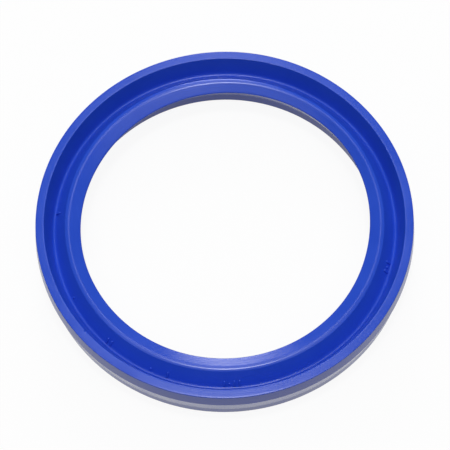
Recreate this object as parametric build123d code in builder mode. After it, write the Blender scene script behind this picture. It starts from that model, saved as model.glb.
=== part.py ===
from build123d import *
import os

# U-cup rod seal, moulded in one piece from cast polyurethane.
# It sits in a round housing groove: the heel face lies on the groove's back wall, the outer
# lip seals the groove's floor, and the inner lip wipes the rod that runs through the ring.
# Millimetres. Z is the ring's axis, the heel face is at Z = 0 and the cup opens upwards.

# The place that the seal is made for
rod_d = 75.0  # rod that runs through the seal
section = 7.5  # radial depth of the housing groove, from the rod to the groove's floor
seal_h = 12.0  # heel face to the flat top of the outer lip

# Heel: the solid back of the cup, which stays put under pressure
bore_gap = 0.1  # radial gap between the rod and the heel's bore
rim_gap = 0.15  # radial gap between the heel's rim and the groove's floor
bore_land_h = 3.4  # straight cylinder of the bore, up to where the inner lip starts
rim_land_h = 3.0  # straight cylinder of the rim, up to where the outer lip starts
heel_chamfer = 0.4  # both edges of the heel face

# Outer lip: nearly upright, cut flat on top, with its sealing edge part way down
outer_squeeze = 0.5  # how far the sealing edge stands out past the groove's floor
outer_edge_drop = 3.9  # flat top down to the sealing edge
outer_bevel_in = 0.5  # how far the top edge is set in from the sealing edge
outer_top_w = 2.0  # width of the flat top

# Inner lip: shorter, and leaning in over the rod to a sharp sealing edge
inner_squeeze = 2.95  # how far the sealing edge reaches in past the rod's surface
inner_edge_drop = 2.5  # flat top of the outer lip down to the inner sealing edge
inner_face_w = 2.8  # sealing edge out to the crest, across the sloping face
crest_drop = 1.35  # flat top of the outer lip down to the crest
crest_r = 1.5  # rounding over the crest
crest_w = 0.8  # crest out to the edge where the groove starts
crest_fall = 0.25  # crest down to that edge

# Groove: the pressure side of the cup, between the two lips
groove_depth = 5.65  # flat top of the outer lip down to where the groove's walls cross
groove_offset = 1.75  # outer lip's groove-side edge in to where the walls cross
groove_floor_r = 0.6  # rounded bottom

# Radii and heights that follow from the sizes above
heel_bore_r = rod_d / 2 + bore_gap
heel_rim_r = rod_d / 2 + section - rim_gap

outer_edge_radius = rod_d / 2 + section + outer_squeeze
outer_edge_z = seal_h - outer_edge_drop
top_rim_radius = outer_edge_radius - outer_bevel_in
top_groove_radius = top_rim_radius - outer_top_w

inner_edge_radius = rod_d / 2 - inner_squeeze
inner_edge_z = seal_h - inner_edge_drop
crest_radius = inner_edge_radius + inner_face_w
crest_z = seal_h - crest_drop

groove_edge_radius = crest_radius + crest_w
groove_edge_z = crest_z - crest_fall
groove_radius = top_groove_radius - groove_offset
groove_z = seal_h - groove_depth

# Half section in the XZ plane, anticlockwise from the bore's edge of the heel face
heel_corners = [
    (heel_bore_r, heel_chamfer),
    (heel_bore_r + heel_chamfer, 0),
    (heel_rim_r - heel_chamfer, 0),
    (heel_rim_r, heel_chamfer),
    (heel_rim_r, rim_land_h),
]
outer_lip_corners = [
    (outer_edge_radius, outer_edge_z),
    (top_rim_radius, seal_h),
    (top_groove_radius, seal_h),
]
groove_bottom = (groove_radius, groove_z)
crest = (crest_radius, crest_z)
inner_lip_corners = [
    (groove_edge_radius, groove_edge_z),
    crest,
    (inner_edge_radius, inner_edge_z),
    (heel_bore_r, bore_land_h),
]
corners = heel_corners + outer_lip_corners + [groove_bottom] + inner_lip_corners
rounded = {groove_bottom: groove_floor_r, crest: crest_r}

with BuildPart() as seal_ring:
    with BuildSketch(Plane.XZ) as half_section:
        with BuildLine():
            FilletPolyline(corners, radius=[rounded.get(corner, 0) for corner in corners], close=True)
        make_face()
    revolve(axis=Axis.Z)

seal_ring.part.label = "seal_ring"

os.makedirs("parts", exist_ok=True)
export_step(seal_ring.part, "parts/seal_ring.step")
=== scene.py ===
import math

import bmesh
import bpy
from mathutils import Matrix, Vector


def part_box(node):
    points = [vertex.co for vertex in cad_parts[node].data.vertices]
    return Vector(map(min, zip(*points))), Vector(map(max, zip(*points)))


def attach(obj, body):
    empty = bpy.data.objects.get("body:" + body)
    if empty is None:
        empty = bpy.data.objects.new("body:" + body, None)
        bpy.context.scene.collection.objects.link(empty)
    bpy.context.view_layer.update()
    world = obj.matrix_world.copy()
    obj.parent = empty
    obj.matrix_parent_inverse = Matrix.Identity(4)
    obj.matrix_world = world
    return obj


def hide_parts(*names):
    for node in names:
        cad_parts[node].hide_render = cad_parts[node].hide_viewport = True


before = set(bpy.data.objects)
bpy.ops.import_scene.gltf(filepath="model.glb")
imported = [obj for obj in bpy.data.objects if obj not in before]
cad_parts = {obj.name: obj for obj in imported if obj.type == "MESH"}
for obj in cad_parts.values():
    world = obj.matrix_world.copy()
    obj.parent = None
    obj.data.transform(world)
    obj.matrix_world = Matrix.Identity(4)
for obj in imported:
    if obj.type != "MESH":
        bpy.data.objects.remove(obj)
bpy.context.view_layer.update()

# ------------------------------------------------------------------------------------------
# Seal ring: one moulding of cast polyurethane, the whole of a U-cup rod seal. A turned steel
# mould gives it its section, and both sealing edges are left crisp, with only a hair of
# rounding. It stands on its heel face, with the groove between its lips open to the top.
# ------------------------------------------------------------------------------------------

MM = 0.001
ring_low, ring_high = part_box("seal_ring")
outer_edge_radius = (ring_high.x - ring_low.x) / 2
seal_height = ring_high.z - ring_low.z

# Heel
heel_bore_radius = outer_edge_radius - 7.9 * MM
heel_rim_radius = outer_edge_radius - 0.65 * MM
bore_land_height = 3.4 * MM
rim_land_height = 3.0 * MM
heel_chamfer = 0.4 * MM

# Outer lip
outer_edge_z = seal_height - 3.9 * MM
top_rim_radius = outer_edge_radius - 0.5 * MM
top_groove_radius = top_rim_radius - 2.0 * MM

# Inner lip
inner_edge_radius = outer_edge_radius - 10.95 * MM
inner_edge_z = seal_height - 2.5 * MM
crest_radius = inner_edge_radius + 2.8 * MM
crest_z = seal_height - 1.35 * MM
groove_edge_radius = crest_radius + 0.8 * MM
groove_edge_z = crest_z - 0.25 * MM

# Groove
groove_radius = top_groove_radius - 1.75 * MM
groove_z = seal_height - 5.65 * MM

# Corner of the half section (radius, height) and how far it is rounded
EDGE_ROUND = 0.15 * MM
SECTION = (
    ((heel_bore_radius, heel_chamfer), EDGE_ROUND),
    ((heel_bore_radius + heel_chamfer, 0.0), EDGE_ROUND),
    ((heel_rim_radius - heel_chamfer, 0.0), EDGE_ROUND),
    ((heel_rim_radius, heel_chamfer), EDGE_ROUND),
    ((heel_rim_radius, rim_land_height), 2.0 * MM),
    ((outer_edge_radius, outer_edge_z), 0.12 * MM),
    ((top_rim_radius, seal_height), EDGE_ROUND),
    ((top_groove_radius, seal_height), EDGE_ROUND),
    ((groove_radius, groove_z), 0.6 * MM),
    ((groove_edge_radius, groove_edge_z), 0.25 * MM),
    ((crest_radius, crest_z), 1.5 * MM),
    ((inner_edge_radius, inner_edge_z), 0.3 * MM),
    ((heel_bore_radius, bore_land_height), 0.8 * MM),
)
ROUND_STEPS = 7
RUN_LENGTH = 0.45 * MM  # longest piece of a straight run, so that the lip can be set smoothly
TURN_STEPS = 360


def round_corner(mesh, corner, radius):
    """Round one corner of a flat outline with an arc that is tangent to both its runs."""
    along = [edge.other_vert(corner).co - corner.co for edge in corner.link_edges]
    turn = math.pi - along[0].angle(along[1])
    bmesh.ops.bevel(
        mesh, geom=[corner], offset=radius * math.tan(turn / 2), offset_type="OFFSET",
        segments=ROUND_STEPS, profile=0.5, affect="VERTICES", material=-1,
    )


def split_runs(mesh, longest):
    """Cut each long straight run of an outline into equal pieces."""
    for edge in list(mesh.edges):
        cuts = math.ceil(edge.calc_length() / longest) - 1
        if cuts > 0:
            bmesh.ops.subdivide_edges(mesh, edges=[edge], cuts=cuts)


def finished(name, mesh):
    """Turn a bmesh into an object at the origin, smooth, with its faces pointing outwards."""
    bmesh.ops.recalc_face_normals(mesh, faces=mesh.faces)
    for face in mesh.faces:
        face.smooth = True
    data = bpy.data.meshes.new(name)
    mesh.to_mesh(data)
    mesh.free()
    piece = bpy.data.objects.new(name, data)
    bpy.context.scene.collection.objects.link(piece)
    return piece


ring = bmesh.new()
corners = [ring.verts.new((radius, 0, height)) for (radius, height), _ in SECTION]
outline = ring.faces.new(corners)
for corner, (_, radius) in zip(corners, SECTION):
    round_corner(ring, corner, radius)
split_runs(ring, RUN_LENGTH)
bmesh.ops.delete(ring, geom=list(ring.faces), context="FACES_ONLY")
bmesh.ops.spin(
    ring, geom=list(ring.verts) + list(ring.edges), cent=(0, 0, 0), axis=(0, 0, 1),
    angle=2 * math.pi, steps=TURN_STEPS, use_merge=True,
)
bmesh.ops.remove_doubles(ring, verts=list(ring.verts), dist=0.001 * MM)

# The soft inner lip has taken a small set to one side, which grows from front to back.
LIP_SET = 0.9 * MM
SET_AT_SIDES = 0.3  # share of the way to the full set, halfway between front and back


def eased(share):
    """A share from 0 to 1 along a smooth S curve."""
    share = min(max(share, 0.0), 1.0)
    return share * share * (3 - 2 * share)


for vert in ring.verts:
    radius = math.hypot(vert.co.x, vert.co.y)
    to_edge = eased((groove_edge_radius - radius) / (groove_edge_radius - inner_edge_radius))
    above_bore = eased((vert.co.z - bore_land_height) / (inner_edge_z - bore_land_height))
    to_back = eased(SET_AT_SIDES + vert.co.y / outer_edge_radius)
    vert.co.x += LIP_SET * to_edge * above_bore * to_back

# A small nick in the groove-side edge of the outer lip, towards the front on the left
NICK_TURN = 140  # degrees clockwise from the right, seen from above
NICK_REACH = 0.55 * MM
NICK_DEPTH = 0.3 * MM
NICK_CUTS = 3
nick = Matrix.Rotation(-math.radians(NICK_TURN), 4, "Z") @ Vector((top_groove_radius, 0, seal_height))
near = [
    edge for edge in ring.edges
    if ((edge.verts[0].co + edge.verts[1].co) / 2 - nick).length < 3 * NICK_REACH
]
bmesh.ops.subdivide_edges(ring, edges=near, cuts=NICK_CUTS, use_grid_fill=True)
for vert in ring.verts:
    to_nick = eased(1 - (vert.co - nick).length / NICK_REACH)
    vert.co.z -= NICK_DEPTH * to_nick

seal = finished("seal_body", ring)


def linear(colour):
    """An sRGB hex colour as linear light with alpha."""
    shares = [int(colour[at:at + 2], 16) / 255 for at in (1, 3, 5)]
    return [s / 12.92 if s <= 0.04045 else ((s + 0.055) / 1.055) ** 2.4 for s in shares] + [1]


def add(tree, kind, links=None, **settings):
    """Add a node. Links give each input a value or another node's output."""
    node = tree.nodes.new(kind)
    for name, value in settings.items():
        setattr(node, name, value)
    for name, value in (links or {}).items():
        if isinstance(value, bpy.types.NodeSocket):
            tree.links.new(value, node.inputs[name])
        else:
            node.inputs[name].default_value = value
    return node


def new_material(name):
    material = bpy.data.materials.new(name)
    material.use_nodes = True
    material.node_tree.nodes.clear()
    return material


# Cast polyurethane elastomer, pigmented ultramarine all through and cured in a turned steel
# mould. To the eye: a clean, saturated blue with a wet gloss, a faint cloudiness where the
# pigment settled, and hair-fine rings from the mould's turning that draw the gloss out
# across the lips. The real marks are about 0.05 mm apart, and are drawn at 0.3 mm to show.
TURNING_PITCH = 0.3 * MM
TURNING_DEPTH = 0.03 * MM
POLYURETHANE_IOR = 1.42
CLOUD_SIZE = 9 * MM
polyurethane = new_material("cast_polyurethane_moulded")
tree = polyurethane.node_tree
place = add(tree, "ShaderNodeTexCoord").outputs["Object"]
pigment = add(tree, "ShaderNodeTexNoise", {"Vector": place, "Scale": 1 / CLOUD_SIZE, "Detail": 3.0})
tone = add(
    tree, "ShaderNodeMix",
    {"Factor": pigment.outputs["Fac"], "A": linear("#244CCB"), "B": linear("#2D56D6")},
    data_type="RGBA",
)
gloss = add(
    tree, "ShaderNodeMapRange",
    {"Value": pigment.outputs["Fac"], "From Min": 0.3, "From Max": 0.7, "To Min": 0.18, "To Max": 0.26},
)
across = add(tree, "ShaderNodeVectorMath", {0: place, 1: (1, 1, 0)}, operation="MULTIPLY")
from_axis = add(tree, "ShaderNodeVectorMath", {0: across.outputs[0]}, operation="LENGTH")
rings = add(
    tree, "ShaderNodeTexNoise",
    {"W": from_axis.outputs["Value"], "Scale": 1 / TURNING_PITCH, "Detail": 2.0},
    noise_dimensions="1D",
)
turned = add(
    tree, "ShaderNodeBump",
    {"Height": rings.outputs["Fac"], "Strength": 0.25, "Distance": TURNING_DEPTH},
)
shader = add(
    tree, "ShaderNodeBsdfPrincipled",
    {
        "Base Color": tone.outputs[2], "Roughness": gloss.outputs[0], "IOR": POLYURETHANE_IOR,
        "Normal": turned.outputs[0],
    },
)
add(tree, "ShaderNodeOutputMaterial", {"Surface": shader.outputs["BSDF"]})
seal.data.materials.append(polyurethane)

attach(seal, "root")
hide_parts("seal_ring")

# ------------------------------------------------------------------------------------------
# Mould marks: plain bars and dots that stand up from the groove's inner slope, moulded with
# the ring. They are cavity marks, left by cuts in the steel mould, and they spell nothing.
# ------------------------------------------------------------------------------------------

MARK_HEIGHT = 0.3 * MM
MARK_TALL = 1.7 * MM
MARK_WIDE = 0.5 * MM
MARK_EDGE = 0.15 * MM
MARK_PITCH = 1.2 * MM
MARK_UP = 1.7 * MM  # from the crossing of the groove's walls up its inner slope
slope = Vector((groove_edge_radius - groove_radius, 0, groove_edge_z - groove_z)).normalized()
facing = Vector((slope.z, 0, -slope.x))
# Where a group starts, in degrees clockwise from the right, seen from above, and its marks
GROUPS = (
    (17, "bar dot bar"),
    (87, "bar bar dot bar"),
    (111, "bar"),
    (117, "dot"),
    (133, "bar bar"),
    (154, "dot"),
    (186, "bar"),
)
seat = Vector((groove_radius, 0, groove_z)) + slope * MARK_UP
stand = Matrix((slope.cross(facing), slope, facing)).transposed().to_4x4()

marks = bmesh.new()
for start, kinds in GROUPS:
    for order, kind in enumerate(kinds.split()):
        turn = -math.radians(start) - order * MARK_PITCH / groove_radius
        tall = MARK_TALL if kind == "bar" else MARK_WIDE
        made = bmesh.ops.create_cube(marks, size=1.0)["verts"]
        bmesh.ops.transform(
            marks, verts=made,
            matrix=Matrix.Rotation(turn, 4, "Z") @ Matrix.Translation(seat) @ stand
            @ Matrix.Diagonal((MARK_WIDE, tall, 2 * MARK_HEIGHT, 1)),
        )
bmesh.ops.bevel(
    marks, geom=list(marks.edges), offset=MARK_EDGE, offset_type="OFFSET", segments=3,
    profile=0.5, affect="EDGES", material=-1,
)
mould_marks = finished("mould_marks", marks)
mould_marks.data.materials.append(polyurethane)
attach(mould_marks, "root")

# ------------------------------------------------------------------------------------------
# Studio floor: a wide sheet of white card. It renders as plain white to the eye and in the
# ring's gloss, and keeps a share of its own shading, so that the ring's shadow stays on it.
# The light that it throws back under the lips is a grey card's, so that they stay deep blue.
# ------------------------------------------------------------------------------------------

FLOOR_HALF_WIDTH = 4.0
FLOOR_GAP = 0.02 * MM  # below the heel face, so that the two do not flicker
WHITE_SHARE = 0.92

floor_mesh = bmesh.new()
bmesh.ops.create_grid(
    floor_mesh, x_segments=1, y_segments=1, size=FLOOR_HALF_WIDTH,
    matrix=Matrix.Translation((0, 0, -FLOOR_GAP)),
)
floor = finished("studio_floor", floor_mesh)
card = new_material("white_card")
tree = card.node_tree
path = add(tree, "ShaderNodeLightPath")
seen = add(
    tree, "ShaderNodeMath",
    {0: path.outputs["Is Camera Ray"], 1: path.outputs["Is Glossy Ray"]},
    operation="MAXIMUM",
)
seen = add(
    tree, "ShaderNodeMath",
    {0: seen.outputs[0], 1: path.outputs["Is Transmission Ray"]},
    operation="MAXIMUM",
)
share = add(tree, "ShaderNodeMath", {0: seen.outputs[0], 1: WHITE_SHARE}, operation="MULTIPLY")
tint = add(
    tree, "ShaderNodeMix", {"Factor": seen.outputs[0], "A": linear("#808080"), "B": linear("#FFFFFF")},
    data_type="RGBA",
)
diffuse = add(tree, "ShaderNodeBsdfDiffuse", {"Color": tint.outputs[2]})
glow = add(tree, "ShaderNodeEmission", {"Color": linear("#FFFFFF"), "Strength": 1.0})
mix = add(tree, "ShaderNodeMixShader", {0: share.outputs[0], 1: diffuse.outputs[0], 2: glow.outputs[0]})
add(tree, "ShaderNodeOutputMaterial", {"Surface": mix.outputs[0]})
floor.data.materials.append(card)

# ------------------------------------------------------------------------------------------
# Studio light: a dim white room, a small key lamp and a wide softbox overhead, and a narrow
# and a small softbox behind the ring. All hang in the camera's own upright plane.
# ------------------------------------------------------------------------------------------

ROOM_BRIGHTNESS = 0.17
world = bpy.data.worlds.new("white_room")
world.use_nodes = True
background = world.node_tree.nodes["Background"]
background.inputs["Color"].default_value = linear("#FFFFFF")
background.inputs["Strength"].default_value = ROOM_BRIGHTNESS
bpy.context.scene.world = world


def softbox(name, tilt, distance, width, height, radiance):
    """A rectangular lamp aimed at the ring. Tilt is from straight up towards the camera's side."""
    data = bpy.data.lights.new(name, "AREA")
    data.shape = "RECTANGLE"
    data.size = width
    data.size_y = height
    data.energy = radiance * math.pi * width * height
    lamp = bpy.data.objects.new(name, data)
    lamp.matrix_world = Matrix.Rotation(math.radians(tilt), 4, "X") @ Matrix.Translation((0, 0, distance))
    bpy.context.scene.collection.objects.link(lamp)


softbox("key_lamp", tilt=-3, distance=0.8, width=0.13, height=0.1, radiance=46)
softbox("top_softbox", tilt=14, distance=1.0, width=1.2, height=0.85, radiance=0.85)
softbox("back_softbox", tilt=-40, distance=0.8, width=0.12, height=0.85, radiance=3.4)
softbox("low_back_softbox", tilt=-68, distance=0.8, width=0.25, height=0.25, radiance=7)

# ------------------------------------------------------------------------------------------
# Camera: a long lens in front of the ring, looking steeply down into the cup. It is rolled a
# little about its own line of sight, and shifted so that the ring sits just below the middle.
# ------------------------------------------------------------------------------------------

ELEVATION = 66.95
ROLL = -2.13
DISTANCE = 8 * outer_edge_radius
camera_data = bpy.data.cameras.new("camera")
camera_data.sensor_width = 36
camera_data.lens = 118.6
camera_data.shift_y = 0.0244
camera_data.clip_start = 0.01
camera = bpy.data.objects.new("camera", camera_data)
camera.matrix_world = (
    Matrix.Rotation(math.radians(90 - ELEVATION), 4, "X")
    @ Matrix.Rotation(math.radians(ROLL), 4, "Z")
    @ Matrix.Translation((0, 0, DISTANCE))
)
bpy.context.scene.collection.objects.link(camera)
bpy.context.scene.camera = camera
bpy.context.scene.view_settings.view_transform = "Standard"
